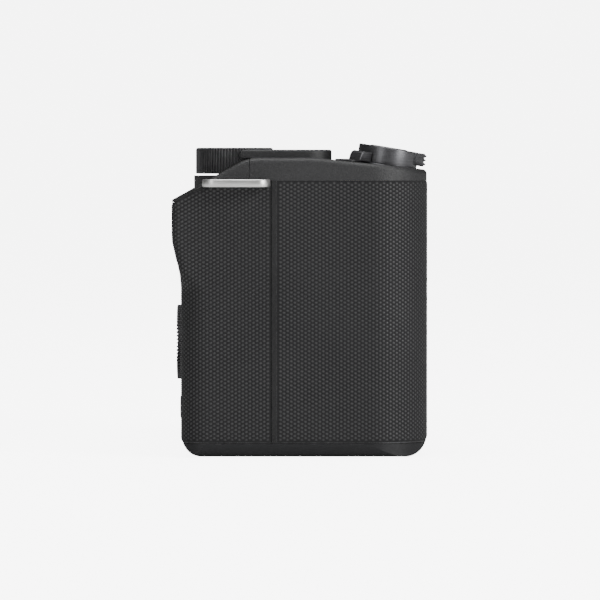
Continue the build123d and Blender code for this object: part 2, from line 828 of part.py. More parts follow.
def monitor_nodes():
    y1 = back_face
    y0 = y1 - monitor_thick
    plan = [
        (monitor_left, y0, 0.6),
        (monitor_right, y0, 0.6),
        (monitor_right, y1, 0.8),
        (monitor_left, y1, 0.8),
    ]
    front = [
        (monitor_left, monitor_low, 1.6),
        (monitor_right, monitor_low, 1.6),
        (monitor_right, monitor_high, 1.6),
        (monitor_left, monitor_high, 1.6),
    ]
    case = plan_prism(plan, 0, beyond) & front_prism(front, 0, beyond)
    arm = region(monitor_right - 1, hinge_x, hinge_y - 1.2, hinge_y + 1.4, hinge_low, hinge_high)
    barrel = upright(hinge_x, hinge_y, hinge_low, hinge_high, hinge_radius)
    case = case + arm + barrel
    case = case - upright(hinge_x, hinge_y, 0, 60, hinge_pin + 0.04)
    w = 2.6
    window = region(
        monitor_left + w, monitor_right - w, y1 - 0.9, y1 + 1, monitor_low + w + 1, monitor_high - w
    )
    parts["monitor_case"] = case - window
    parts["monitor_glass"] = window & region(-beyond, beyond, 0, y1 - 0.05, 0, beyond)
    add_to("hinge_pins", upright(hinge_x, hinge_y, hinge_low - 3, hinge_high + 3, hinge_pin))


def battery_nodes():
    x0 = battery_x - battery_width / 2
    x1 = battery_x + battery_width / 2
    y0 = battery_y - battery_depth / 2
    y1 = battery_y + battery_depth / 2
    z1 = battery_low + battery_height
    cell = region(x0, x1, y0, y1, battery_low, z1)
    parts["battery"] = cell
    g = box_gap
    w = box_wall
    box = region(x0 - g - w, x1 + g + w, y0 - g - w, y1 + g + w, battery_low, z1 + g + w)
    box = box - region(x0 - g, x1 + g, y0 - g, y1 + g, 0, z1 + g)
    parts["battery_box"] = box
    half = card_thick / 2
    y0 = card_y - card_width / 2
    y1 = card_y + card_width / 2
    card = region(card_x - half, card_x + half, y0, y1, card_low, card_low + card_height)
    parts["memory_card"] = card
    slot = region(
        card_x - half - 0.7,
        card_x + half + 0.7,
        card_y - card_width / 2 - 0.7,
        card_y + card_width / 2 + 0.7,
        card_low + 3.0,
        card_low + card_height + 2.0,
    )
    slot = slot - region(
        card_x - half - 0.1,
        card_x + half + 0.1,
        card_y - card_width / 2 - 0.1,
        card_y + card_width / 2 + 0.1,
        0,
        card_low + card_height + 0.4,
    )
    parts["card_slot"] = slot


def battery_door_nodes():
    z0 = foot_height + 0.05
    z1 = z0 + door_thick
    hinge_z = foot_height + door_hinge_radius + 0.05
    slab = plan_prism(door_outline(0.0), z0, z1)
    barrel = across_y(door_hinge_x, hinge_z, door_front + 0.3, door_back - 0.3, door_hinge_radius)
    neck = region(door_hinge_x, door_left + 0.5, door_front + 0.3, door_back - 0.3, z0 + 0.1, z1 - 0.2)
    door = slab + barrel + neck
    door = door - across_y(door_hinge_x, hinge_z, -40, 40, door_pin + 0.04)
    door = door - region(card_x - 5.8, card_x, -5.0, 4.0, 0, z0 + 0.9)
    parts["battery_door"] = door
    latch = region(card_x - 5.6, card_x - 0.2, -4.8, 0.8, z0 + 0.05, z0 + 0.8)
    for i in range(4):
        latch = latch - region(card_x - 4.6, card_x - 1.2, -3.9 + 1.1 * i, -3.5 + 1.1 * i, 0, z0 + 0.3)
    parts["battery_door_latch"] = latch
    add_to("hinge_pins", across_y(door_hinge_x, hinge_z, door_front - 1.6, door_back + 1.6, door_pin))


def port_nodes():
    x1 = half_width
    x0 = x1 - port_thick
    names = ["upper_port_door", "lower_port_door"]
    bays = port_bays()
    axis_x = half_width - 0.7
    for (low, high), name in zip(bays, reversed(names)):
        slab = region(x0, x1, port_front, port_back, low, high)
        barrel = upright(axis_x, port_hinge_y, low, high, port_hinge_radius)
        neck = region(axis_x - 0.4, axis_x + 0.4, port_back - 0.2, port_hinge_y, low, high)
        door = slab + neck + barrel
        parts[name] = door - upright(axis_x, port_hinge_y, 0, 80, door_pin + 0.04)
        add_to("hinge_pins", upright(axis_x, port_hinge_y, low - 1.4, high + 1.4, door_pin))
    w = half_width
    panel = region(w - 4.0, w - 2.6, port_front - 0.8, port_hinge_y + 1.1, 9.0, 57.5)
    mic = across_x(-1.5, 50.0, 0, w, 2.8)
    phones = across_x(-1.5, 26.5, 0, w, 2.8)
    usb = region(0, w, -6.2, 3.2, 15.5, 19.1)
    video = region(0, w, -4.9, 1.9, 38.6, 41.8)
    parts["port_panel"] = panel - mic - phones - usb - video
    for z in (26.5, 50.0):
        barrel = across_x(-1.5, z, w - 11.0, w - 2.2, 2.8)
        add_to("audio_jacks", barrel - across_x(-1.5, z, w - 10.4, w, 1.75))
    shell = region(w - 9.8, w - 2.2, -6.2, 3.2, 15.5, 19.1) - region(w - 9.4, w, -5.7, 2.7, 15.9, 18.7)
    add_to("data_sockets", shell + region(w - 9.5, w - 3.0, -4.6, 1.6, 16.9, 17.6))
    shell = region(w - 8.8, w - 2.2, -4.9, 1.9, 38.6, 41.8) - region(w - 8.4, w, -4.5, 1.5, 39.0, 41.4)
    add_to("data_sockets", shell + region(w - 8.5, w - 3.0, -3.6, 0.6, 39.9, 40.5))


def shoe_nodes():
    half = shoe_slot_width / 2
    floor = shoe_floor
    outer = half + shoe_wall
    shoe = region(shoe_x - outer, shoe_x + outer, shoe_front, shoe_back, floor - 0.7, floor)
    lip = floor + shoe_slot_height
    for side in (-1, 1):
        xs = sorted((shoe_x + side * half, shoe_x + side * (half + shoe_wall)))
        shoe = shoe + region(xs[0], xs[1], shoe_front, shoe_back, floor, island_top - 0.1)
        xs = sorted((shoe_x + side * shoe_opening / 2, shoe_x + side * half))
        shoe = shoe + region(xs[0], xs[1], shoe_front, shoe_back, lip, island_top - 0.1)
    shoe = shoe + region(shoe_x - half, shoe_x + half, shoe_front, shoe_front + 1.0, floor, island_top - 0.1)
    for x in (-5, 5):
        shoe = shoe - upright(shoe_x + x, 9.6, 50, floor + 0.05, 1.1)
    parts["accessory_shoe"] = shoe
    for x in (-5, 5):
        add_to("machine_screws", upright(shoe_x + x, 9.6, floor - 0.7, floor - 0.1, 1.1))


def small_nodes():
    x0, x1, y0, y1 = grille_outline
    under = island_top - grille_thick
    parts["mic_grille"] = region(x0, x1, y0, y1, under, island_top - 0.1)
    capsules = None
    for i in range(3):
        capsule = upright((x0 + x1) / 2 + 4.0 * (i - 1), (y0 + y1) / 2, under - 2.5, under - 0.3, 1.8)
        capsules = capsule if capsules is None else capsules + capsule
    parts["microphone_capsules"] = capsules
    parts["speaker"] = upright(speaker_x, speaker_y, deck_height - 5.9, deck_height - 2.9, 5.5)
    parts["assist_lamp_window"] = across_y(lamp_x, lamp_z, front_face - 0.05, front_face + 1.3, 2.2)
    socket = upright(mount_x, tripod_y, foot_height + 0.02, tripod_height, tripod_flange)
    parts["tripod_socket"] = socket - upright(mount_x, tripod_y, -1, 4.0, tripod_bore)
    for x, y in base_screw_places():
        screw = upright(x, y, foot_height + 0.1, foot_height + 1.5, 1.5)
        screw = screw - region(x - 0.9, x + 0.9, y - 0.2, y + 0.2, 0, foot_height + 0.6)
        screw = screw - region(x - 0.2, x + 0.2, y - 0.9, y + 0.9, 0, foot_height + 0.6)
        add_to("machine_screws", screw)
    for side in (-1, 1):
        add_to("strap_lugs", lug_plate(side))


def build():
    shell_nodes()
    shutter_nodes()
    dial_nodes()
    top_button_nodes()
    rear_button_nodes()
    wheel_nodes()
    mount_nodes()
    sensor_nodes()
    monitor_nodes()
    battery_nodes()
    battery_door_nodes()
    port_nodes()
    shoe_nodes()
    small_nodes()


build()
os.makedirs("parts", exist_ok=True)
for name, shape in parts.items():
    if not isinstance(shape, (Solid, Compound, Part)):
        shape = Compound(children=list(shape))
    export_step(shape, "parts/" + name + ".step")
    print(name, round(shape.volume, 2), len(shape.solids()), shape.is_valid)
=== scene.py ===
# Looks of the compact camera body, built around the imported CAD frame.
import json
import math

import bmesh
import bpy
import numpy as np
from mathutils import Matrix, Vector


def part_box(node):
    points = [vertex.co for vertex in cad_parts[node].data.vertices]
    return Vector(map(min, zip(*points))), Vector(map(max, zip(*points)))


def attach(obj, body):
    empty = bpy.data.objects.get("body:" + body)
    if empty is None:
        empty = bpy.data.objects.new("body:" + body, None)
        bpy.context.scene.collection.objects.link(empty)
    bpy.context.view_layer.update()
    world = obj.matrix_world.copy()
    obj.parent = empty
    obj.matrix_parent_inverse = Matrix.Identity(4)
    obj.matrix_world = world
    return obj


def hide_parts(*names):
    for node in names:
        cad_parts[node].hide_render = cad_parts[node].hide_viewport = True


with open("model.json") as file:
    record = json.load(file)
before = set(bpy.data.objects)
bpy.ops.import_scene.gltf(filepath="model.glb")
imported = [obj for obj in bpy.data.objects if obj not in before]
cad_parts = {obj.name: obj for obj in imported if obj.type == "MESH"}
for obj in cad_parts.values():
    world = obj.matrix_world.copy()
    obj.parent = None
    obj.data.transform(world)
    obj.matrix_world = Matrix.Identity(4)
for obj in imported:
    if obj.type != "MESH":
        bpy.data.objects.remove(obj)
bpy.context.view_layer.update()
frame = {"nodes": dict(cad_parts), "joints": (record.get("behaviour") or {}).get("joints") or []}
nodes = frame["nodes"]
mm = 0.001  # metres in a millimetre
print("frame loaded, pieces:", len(nodes))


def newTree(name):
    # an empty material with one principled shader wired to its output
    material = bpy.data.materials.new(name)
    material.use_nodes = True
    tree = material.node_tree
    tree.nodes.clear()
    shader = tree.nodes.new("ShaderNodeBsdfPrincipled")
    output = tree.nodes.new("ShaderNodeOutputMaterial")
    tree.links.new(shader.outputs["BSDF"], output.inputs["Surface"])
    return material, tree, shader


def place(tree, kind, **settings):
    # a new shader node with its settings applied
    node = tree.nodes.new(kind)
    for key, value in settings.items():
        setattr(node, key, value)
    return node


def feed(tree, socket, value):
    # a socket takes either another socket or a fixed value
    if isinstance(value, bpy.types.NodeSocket):
        tree.links.new(value, socket)
    else:
        socket.default_value = value


def mathNode(tree, operation, first, second=0.5, third=0.0, clamp=False):
    # one arithmetic step between sockets or fixed values
    node = place(tree, "ShaderNodeMath", operation=operation, use_clamp=clamp)
    feed(tree, node.inputs[0], first)
    feed(tree, node.inputs[1], second)
    feed(tree, node.inputs[2], third)
    return node.outputs[0]


def mixColour(tree, share, first, second):
    # first colour where the share is 0, second where it is 1
    node = place(tree, "ShaderNodeMix", data_type="RGBA")
    feed(tree, node.inputs["Factor"], share)
    feed(tree, node.inputs["A"], first)
    feed(tree, node.inputs["B"], second)
    return node.outputs["Result"]


def noise(tree, vector, scale, detail=3.0, roughness=0.5):
    # soft cloud noise at that many cycles to the metre
    node = place(tree, "ShaderNodeTexNoise")
    feed(tree, node.inputs["Vector"], vector)
    node.inputs["Scale"].default_value = scale
    node.inputs["Detail"].default_value = detail
    node.inputs["Roughness"].default_value = roughness
    return node.outputs["Fac"]


def spread(tree, value, low, high, newLow, newHigh):
    # a value mapped in a straight line from one range to another, held at its ends
    node = place(tree, "ShaderNodeMapRange")
    feed(tree, node.inputs["Value"], value)
    node.inputs["From Min"].default_value = low
    node.inputs["From Max"].default_value = high
    node.inputs["To Min"].default_value = newLow
    node.inputs["To Max"].default_value = newHigh
    return node.outputs["Result"]


def objectCoordinates(tree):
    # places in metres that stay with the object
    return place(tree, "ShaderNodeTexCoord").outputs["Object"]


def colour(red, green, blue):
    # an opaque colour in linear light
    return (red, green, blue, 1.0)


def newGroup(name, inputs, outputs):
    # an empty node group with the named inputs, defaults and outputs
    group = bpy.data.node_groups.new(name, "ShaderNodeTree")
    for label, kind, value in inputs:
        socket = group.interface.new_socket(label, in_out="INPUT", socket_type=kind)
        if value is not None:
            socket.default_value = value
    for label, kind in outputs:
        group.interface.new_socket(label, in_out="OUTPUT", socket_type=kind)
    source = group.nodes.new("NodeGroupInput")
    target = group.nodes.new("NodeGroupOutput")
    return group, source, target


def makeGrainGroup():
    # moulded grain: fine Voronoi pebbles over soft noise, as a height and a colour share
    group, source, target = newGroup(
        "mouldedGrain",
        [
            ("Vector", "NodeSocketVector", None),
            ("Scale", "NodeSocketFloat", 5200.0),
            ("Depth", "NodeSocketFloat", 1.0),
        ],
        [("Height", "NodeSocketFloat"), ("Tone", "NodeSocketFloat")],
    )
    cells = place(group, "ShaderNodeTexVoronoi", feature="SMOOTH_F1")
    group.links.new(source.outputs["Vector"], cells.inputs["Vector"])
    group.links.new(source.outputs["Scale"], cells.inputs["Scale"])
    cells.inputs["Smoothness"].default_value = 0.6
    soft = place(group, "ShaderNodeTexNoise")
    group.links.new(source.outputs["Vector"], soft.inputs["Vector"])
    halfScale = mathNode(group, "MULTIPLY", source.outputs["Scale"], 0.37)
    group.links.new(halfScale, soft.inputs["Scale"])
    soft.inputs["Detail"].default_value = 4.0
    pebbles = spread(group, cells.outputs["Distance"], 0.0, 0.7, 1.0, 0.0)
    both = mathNode(group, "MULTIPLY_ADD", soft.outputs["Fac"], 0.9, pebbles)
    height = mathNode(group, "MULTIPLY", both, source.outputs["Depth"])
    group.links.new(height, target.inputs["Height"])
    tone = spread(group, both, 0.45, 1.35, 0.0, 1.0)
    group.links.new(tone, target.inputs["Tone"])
    return group


def makeWearGroup():
    # wear: one minus the dot product of a rounded and a true normal marks edges, broken up by noise
    group, source, target = newGroup(
        "edgeWear",
        [
            ("Vector", "NodeSocketVector", None),
            ("Amount", "NodeSocketFloat", 0.5),
            ("Radius", "NodeSocketFloat", 0.00018),
        ],
        [("Mask", "NodeSocketFloat"), ("Handled", "NodeSocketFloat"), ("Rounded", "NodeSocketVector")],
    )
    rounded = place(group, "ShaderNodeBevel", samples=4)
    group.links.new(source.outputs["Radius"], rounded.inputs["Radius"])
    group.links.new(rounded.outputs["Normal"], target.inputs["Rounded"])
    geometry = place(group, "ShaderNodeNewGeometry")
    alike = place(group, "ShaderNodeVectorMath", operation="DOT_PRODUCT")
    group.links.new(rounded.outputs["Normal"], alike.inputs[0])
    group.links.new(geometry.outputs["Normal"], alike.inputs[1])
    edge = spread(group, alike.outputs["Value"], 0.985, 0.86, 0.0, 1.0)
    breakUp = noise(group, source.outputs["Vector"], 900.0, 5.0, 0.6)
    broken = spread(group, breakUp, 0.4, 0.62, 0.0, 1.0)
    worn = mathNode(group, "MULTIPLY", edge, broken, clamp=True)
    mask = mathNode(group, "MULTIPLY", worn, source.outputs["Amount"], clamp=True)
    group.links.new(mask, target.inputs["Mask"])
    wide = noise(group, source.outputs["Vector"], 60.0, 3.0, 0.55)
    handled = spread(group, wide, 0.35, 0.7, 0.0, 1.0)
    group.links.new(handled, target.inputs["Handled"])
    return group


def makeDustGroup():
    # dust: sparse tiny specks that gather on what faces upwards
    group, source, target = newGroup(
        "fineDust",
        [("Vector", "NodeSocketVector", None), ("Amount", "NodeSocketFloat", 0.3)],
        [("Mask", "NodeSocketFloat")],
    )
    specks = noise(group, source.outputs["Vector"], 2600.0, 2.0, 0.5)
    sparse = spread(group, specks, 0.68, 0.78, 0.0, 1.0)
    geometry = place(group, "ShaderNodeNewGeometry")
    parts = place(group, "ShaderNodeSeparateXYZ")
    group.links.new(geometry.outputs["Normal"], parts.inputs["Vector"])
    upward = spread(group, parts.outputs["Z"], -0.2, 1.0, 0.25, 1.0)
    mask = mathNode(group, "MULTIPLY", sparse, upward)
    mask = mathNode(group, "MULTIPLY", mask, source.outputs["Amount"], clamp=True)
    group.links.new(mask, target.inputs["Mask"])
    return group


grainGroup = makeGrainGroup()
wearGroup = makeWearGroup()
dustGroup = makeDustGroup()


def useGroup(tree, group, **values):
    # a shared node group placed in a material, with its inputs fed
    node = place(tree, "ShaderNodeGroup")
    node.node_tree = group
    for key, value in values.items():
        feed(tree, node.inputs[key], value)
    return node


def bumpFrom(tree, height, strength, distance, under=None):
    # a normal bent by the slope of a height, over another normal where one is given
    node = place(tree, "ShaderNodeBump")
    feed(tree, node.inputs["Height"], height)
    if under is not None:
        feed(tree, node.inputs["Normal"], under)
    node.inputs["Strength"].default_value = strength
    node.inputs["Distance"].default_value = distance
    return node.outputs["Normal"]


# stripShade sets how dark the painted shade on the recessed strip between the rubber panels is, as a share of
# the base colour
plasticLooks = {
    "bodyPaint": dict(base=(0.0145, 0.0145, 0.0155), dark=0.45, rough=0.5, grain=4200.0, bump=0.55,
                      wear=0.45, dust=0.12, depth=0.00008, stripShade=0.35),
    "basePlastic": dict(base=(0.008, 0.008, 0.009), dark=0.7, rough=0.55, grain=5200.0, bump=0.35,
                        wear=0.35, dust=0.1, depth=0.00004, shine=0.28),
    "buttonPlastic": dict(base=(0.026, 0.026, 0.028), dark=0.8, rough=0.34, grain=7000.0, bump=0.15,
                          wear=0.35, dust=0.08, depth=0.00003),
    "gripRubber": dict(base=(0.030, 0.030, 0.031), dark=0.7, rough=0.62, grain=9000.0, bump=0.4,
                       wear=0.1, dust=0.25, depth=0.00003),
    "portRubber": dict(base=(0.028, 0.028, 0.030), dark=0.75, rough=0.58, grain=6000.0, bump=0.35,
                       wear=0.15, dust=0.2, depth=0.00004),
    "innerPlastic": dict(base=(0.014, 0.014, 0.015), dark=0.8, rough=0.6, grain=5200.0, bump=0.3,
                         wear=0.1, dust=0.1, depth=0.00004),
    "chipBlack": dict(base=(0.018, 0.018, 0.02), dark=0.8, rough=0.45, grain=8000.0, bump=0.3,
                      wear=0.1, dust=0.1, depth=0.00003),
}


# where the painted shade on the recessed strip between the rubber panels starts and reaches full strength
stripShadeEdges = dict(innerX=-0.0571, outerX=-0.0573, topZ=0.0589, lowZ=0.0587)
wornPlastic = (0.12, 0.12, 0.125)
plasticDust = (0.32, 0.31, 0.29)


def makePlastic(name, look):
    # base colour darkened in the grain's hollows, lightened on worn edges, with dust on top; where a look has
    # one, painted shade darkens the recessed strip between the rubber panels
    material, tree, shader = newTree(name)
    where = objectCoordinates(tree)
    grain = useGroup(tree, grainGroup, Vector=where, Scale=look["grain"], Depth=1.0)
    wear = useGroup(tree, wearGroup, Vector=where, Amount=look["wear"])
    dust = useGroup(tree, dustGroup, Vector=where, Amount=look["dust"])
    light = colour(*look["base"])
    deep = colour(*(c * look["dark"] for c in look["base"]))
    shade = mixColour(tree, grain.outputs["Tone"], deep, light)
    cloud = spread(tree, noise(tree, where, 35.0, 3.0), 0.3, 0.7, 0.0, 0.22)
    shade = mixColour(tree, cloud, shade, colour(*(c * 1.35 for c in look["base"])))
    if "stripShade" in look:
        # painted shade: the bare strip recessed between the two rubber panels is darkened where it lies,
        # standing in for the shade that falls there
        parts = place(tree, "ShaderNodeSeparateXYZ")
        feed(tree, parts.inputs["Vector"], where)
        beside = spread(tree, parts.outputs["X"], stripShadeEdges["innerX"], stripShadeEdges["outerX"], 0.0, 1.0)
        below = spread(tree, parts.outputs["Z"], stripShadeEdges["topZ"], stripShadeEdges["lowZ"], 0.0, 1.0)
        stripShade = mathNode(tree, "MULTIPLY", beside, below, clamp=True)
        shade = mixColour(tree, stripShade, shade, colour(*(c * look["stripShade"] for c in look["base"])))
    shade = mixColour(tree, wear.outputs["Mask"], shade, colour(*wornPlastic))
    shade = mixColour(tree, dust.outputs["Mask"], shade, colour(*plasticDust))
    feed(tree, shader.inputs["Base Color"], shade)
    rough = spread(tree, grain.outputs["Tone"], 0.0, 1.0, look["rough"] + 0.1, look["rough"] - 0.03)
    if "stripShade" in look:
        rough = mathNode(tree, "MULTIPLY_ADD", stripShade, 0.3, rough)
    polished = mathNode(tree, "MULTIPLY", wear.outputs["Handled"], 0.08)
    rough = mathNode(tree, "SUBTRACT", rough, polished, clamp=True)
    feed(tree, shader.inputs["Roughness"], rough)
    under = wear.outputs["Rounded"]
    normal = bumpFrom(tree, grain.outputs["Height"], look["bump"], look["depth"], under)
    feed(tree, shader.inputs["Normal"], normal)
    shader.inputs["Specular IOR Level"].default_value = look.get("shine", 0.45)
    return material


metalLooks = {
    "knurledBlack": dict(base=(0.021, 0.021, 0.022), bright=(0.036, 0.036, 0.038), metal=0.35, rough=0.4,
                         streak=(900.0, 900.0, 300.0), bump=0.1),
    "spunBlack": dict(base=(0.055, 0.055, 0.058), bright=(0.10, 0.10, 0.105), metal=0.7, rough=0.32,
                      streak=(300.0, 300.0, 9000.0), bump=0.16),
    "satinSteel": dict(base=(0.52, 0.52, 0.51), bright=(0.70, 0.70, 0.69), metal=1.0, rough=0.36,
                       streak=(6000.0, 260.0, 6000.0), bump=0.2),
    "mountChrome": dict(base=(0.55, 0.55, 0.56), bright=(0.72, 0.72, 0.73), metal=1.0, rough=0.24,
                        streak=(400.0, 9000.0, 400.0), bump=0.12),
    "platedSocket": dict(base=(0.42, 0.42, 0.42), bright=(0.6, 0.6, 0.6), metal=1.0, rough=0.33,
                         streak=(3000.0, 3000.0, 300.0), bump=0.15),
    "goldContact": dict(base=(0.72, 0.50, 0.20), bright=(0.9, 0.68, 0.32), metal=1.0, rough=0.25,
                        streak=(4000.0, 4000.0, 4000.0), bump=0.1),
    "castAlloy": dict(base=(0.035, 0.035, 0.037), bright=(0.06, 0.06, 0.062), metal=0.6, rough=0.5,
                      streak=(2500.0, 2500.0, 2500.0), bump=0.3),
    "grilleMetal": dict(base=(0.022, 0.022, 0.024), bright=(0.05, 0.05, 0.052), metal=0.5, rough=0.42,
                        streak=(2500.0, 2500.0, 2500.0), bump=0.2),
}


metalAge = dict(wear=0.55, dust=0.1, dustTone=(0.3, 0.3, 0.28), lineDepth=0.00004)


def makeMetal(name, look):
    # stretched noise gives turned or brushed lines, worn edges show the brighter metal
    material, tree, shader = newTree(name)
    where = objectCoordinates(tree)
    stretch = place(tree, "ShaderNodeMapping")
    feed(tree, stretch.inputs["Vector"], where)
    stretch.inputs["Scale"].default_value = look["streak"]
    lines = noise(tree, stretch.outputs["Vector"], 1.0, 4.0, 0.6)
    wear = useGroup(tree, wearGroup, Vector=where, Amount=metalAge["wear"])
    dust = useGroup(tree, dustGroup, Vector=where, Amount=metalAge["dust"])
    tone = spread(tree, lines, 0.3, 0.7, 0.0, 1.0)
    shade = mixColour(tree, tone, colour(*look["base"]), colour(*look["bright"]))
    edge = tuple(min(1.0, c * 1.7 + 0.05) for c in look["bright"])
    shade = mixColour(tree, wear.outputs["Mask"], shade, colour(*edge))
    shade = mixColour(tree, dust.outputs["Mask"], shade, colour(*metalAge["dustTone"]))
    feed(tree, shader.inputs["Base Color"], shade)
    rough = spread(tree, lines, 0.2, 0.8, look["rough"] - 0.06, look["rough"] + 0.1)
    feed(tree, shader.inputs["Roughness"], rough)
    normal = bumpFrom(tree, lines, look["bump"], metalAge["lineDepth"], wear.outputs["Rounded"])
    feed(tree, shader.inputs["Normal"], normal)
    shader.inputs["Metallic"].default_value = look["metal"]
    return material


glassLooks = {
    "coverGlass": dict(tint=(0.010, 0.011, 0.014), rough=0.06),
    "filterGlass": dict(tint=(0.020, 0.035, 0.040), rough=0.04),
}


def makeGlass(name, look):
    # dark glass: roughness rises where noise leaves smudges, under a clear coat
    material, tree, shader = newTree(name)
    where = objectCoordinates(tree)
    rough = look["rough"]
    smudge = spread(tree, noise(tree, where, 45.0, 5.0, 0.65), 0.5, 0.75, rough, rough + 0.13)
    feed(tree, shader.inputs["Roughness"], smudge)
    patch = spread(tree, noise(tree, where, 20.0, 2.0), 0.3, 0.7, 0.0, 0.3)
    shade = mixColour(tree, patch, colour(*look["tint"]), colour(*(c * 1.25 for c in look["tint"])))
    feed(tree, shader.inputs["Base Color"], shade)
    shader.inputs["Coat Weight"].default_value = 0.6
    shader.inputs["Coat Roughness"].default_value = 0.05
    shader.inputs["IOR"].default_value = 1.5
    return material


boardLook = dict(scale=420.0, trackWidth=0.03, mask=(0.010, 0.060, 0.030), maskOther=(0.012, 0.075, 0.036),
                 track=(0.05, 0.16, 0.07), cloud=(0.008, 0.045, 0.024))


def makeBoard(name):
    # solder mask green with paler tracks: the mortar lines of a brick pattern
    material, tree, shader = newTree(name)
    where = objectCoordinates(tree)
    tracks = place(tree, "ShaderNodeTexBrick")
    feed(tree, tracks.inputs["Vector"], where)
    tracks.inputs["Scale"].default_value = boardLook["scale"]
    tracks.inputs["Mortar Size"].default_value = boardLook["trackWidth"]
    tracks.inputs["Color1"].default_value = colour(*boardLook["mask"])
    tracks.inputs["Color2"].default_value = colour(*boardLook["maskOther"])
    tracks.inputs["Mortar"].default_value = colour(*boardLook["track"])
    cloud = spread(tree, noise(tree, where, 300.0, 3.0), 0.3, 0.7, 0.0, 0.4)
    shade = mixColour(tree, cloud, tracks.outputs["Color"], colour(*boardLook["cloud"]))
    feed(tree, shader.inputs["Base Color"], shade)
    feed(tree, shader.inputs["Normal"], bumpFrom(tree, tracks.outputs["Fac"], 0.3, 0.00005))
    feed(tree, shader.inputs["Roughness"], spread(tree, cloud, 0.0, 0.4, 0.3, 0.45))
    return material


finishes = {name: makePlastic(name, look) for name, look in plasticLooks.items()}
finishes.update({name: makeMetal(name, look) for name, look in metalLooks.items()})
finishes.update({name: makeGlass(name, look) for name, look in glassLooks.items()})
finishes["boardGreen"] = makeBoard("boardGreen")
print("finishes made:", len(finishes))

finishOf = {
    "bodyPaint": ["top_cover", "front_cover", "rear_cover", "monitor_case"],
    "basePlastic": ["bottom_cover", "battery_door", "battery_door_latch"],
    "gripRubber": ["grip_front_rubber", "grip_rear_rubber"],
    "portRubber": ["upper_port_door", "lower_port_door"],
    "spunBlack": ["shutter_button", "zoom_lever", "power_switch", "rear_dial", "control_wheel"],
    "buttonPlastic": [
        "record_button", "custom_button", "mode_button", "menu_button", "function_button",
        "playback_button", "delete_button", "wheel_center_button", "lens_release_button",
    ],
    "satinSteel": [
        "strap_lugs", "lens_lock_pin", "machine_screws", "accessory_shoe", "tripod_socket", "hinge_pins",
    ],
    "mountChrome": ["lens_mount_ring"],
    "goldContact": ["mount_contacts", "tactile_switches"],
    "innerPlastic": [
        "mount_contact_block", "battery_box", "port_panel", "wheel_base", "wheel_carrier",
        "wheel_rocker_ring", "sensor_carrier", "speaker",
    ],
    "castAlloy": ["chassis_frame", "heat_plate"],
    "boardGreen": ["main_board", "switch_boards"],
    "chipBlack": ["board_chips", "memory_card", "battery"],
    "coverGlass": ["monitor_glass", "assist_lamp_window"],
    "filterGlass": ["sensor_filter_glass", "image_sensor"],
    "grilleMetal": ["mic_grille"],
    "platedSocket": ["data_sockets", "card_slot", "audio_jacks", "microphone_capsules"],
}


def wearFinish(piece, name):
    # a piece gets its one finish
    piece.data.materials.clear()
    piece.data.materials.append(finishes[name])


for finish, names in finishOf.items():
    for name in names:
        wearFinish(nodes[name], finish)


def gridFaces(rows, columns):
    # four-sided faces between neighbouring points of a rows by columns grid
    index = np.arange(rows * columns).reshape(rows, columns)
    quads = np.stack([index[:-1, :-1], index[1:, :-1], index[1:, 1:], index[:-1, 1:]], -1)
    return quads.reshape(-1, 4)


def loopFaces(rings, around):
    # quads between each ring and the next, the last point of a ring joined to its first, and two end caps
    index = np.arange(rings * around).reshape(rings, around)
    after = np.roll(index, -1, 1)
    quads = np.stack([index[:-1], after[:-1], after[1:], index[1:]], -1).reshape(-1, 4)
    return quads.tolist() + [index[0, ::-1].tolist(), index[-1].tolist()]


def makeSkin(name, points, finish, body, *replaced, smoothAngle=40.0, faces=None):
    # a closed skin over rings of points, given in millimetres as rings by around by three
    if faces is None:
        faces = loopFaces(*points.shape[:2])
    mesh = bpy.data.meshes.new(name)
    mesh.from_pydata((points.reshape(-1, 3) * mm).tolist(), [], faces)
    shell = bmesh.new()
    shell.from_mesh(mesh)
    bmesh.ops.recalc_face_normals(shell, faces=shell.faces)
    shell.to_mesh(mesh)
    shell.free()
    mesh.shade_smooth()
    mesh.set_sharp_from_angle(angle=math.radians(smoothAngle))
    piece = bpy.data.objects.new(name, mesh)
    bpy.context.scene.collection.objects.link(piece)
    mesh.materials.append(finishes[finish])
    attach(piece, body)
    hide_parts(*replaced)
    return piece


def addValue(piece, name, values):
    # one number for each point, for the material to read
    attribute = piece.data.attributes.new(name, "FLOAT", "POINT")
    attribute.data.foreach_set("value", np.ascontiguousarray(values, np.float32).ravel())


def blendStep(value, low, high):
    # smooth step from 0 at low to 1 at high
    t = np.clip((value - low) / (high - low), 0, 1)
    return t * t * (3 - 2 * t)


def boxOf(node):
    # a node's lowest and highest corners in millimetres
    low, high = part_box(node)
    return np.array(low) / mm, np.array(high) / mm


jointOf = {joint["name"]: joint for joint in frame["joints"]}

gripPattern = dict(columnStep=0.757, rowStep=0.858, depth=0.2, perColumn=4, perRow=4, across=0.47,
                   tall=0.34, lean=-24.0, backing=0.8, plainBorder=0.25, backStep=6)


def dotRise(along, up):
    # leaning ovals on a staggered lattice: a raised cosine of the distance to the nearest lattice point
    column = np.round(along / gripPattern["columnStep"])
    lean = math.radians(gripPattern["lean"])
    nearest = np.full(along.shape, 9.0)
    for shift in (-1, 0, 1):
        lattice = column + shift
        sideways = along - lattice * gripPattern["columnStep"]
        row = up / gripPattern["rowStep"] - 0.5 * (lattice % 2)
        for step in (-1, 0, 1):
            lengthways = (row - np.round(row) - step) * gripPattern["rowStep"]
            long = (sideways * math.cos(lean) + lengthways * math.sin(lean)) / gripPattern["across"]
            short = (lengthways * math.cos(lean) - sideways * math.sin(lean)) / gripPattern["tall"]
            nearest = np.minimum(nearest, np.hypot(long, short))
    return np.where(nearest < 1, 0.5 + 0.5 * np.cos(np.pi * nearest), 0.0)


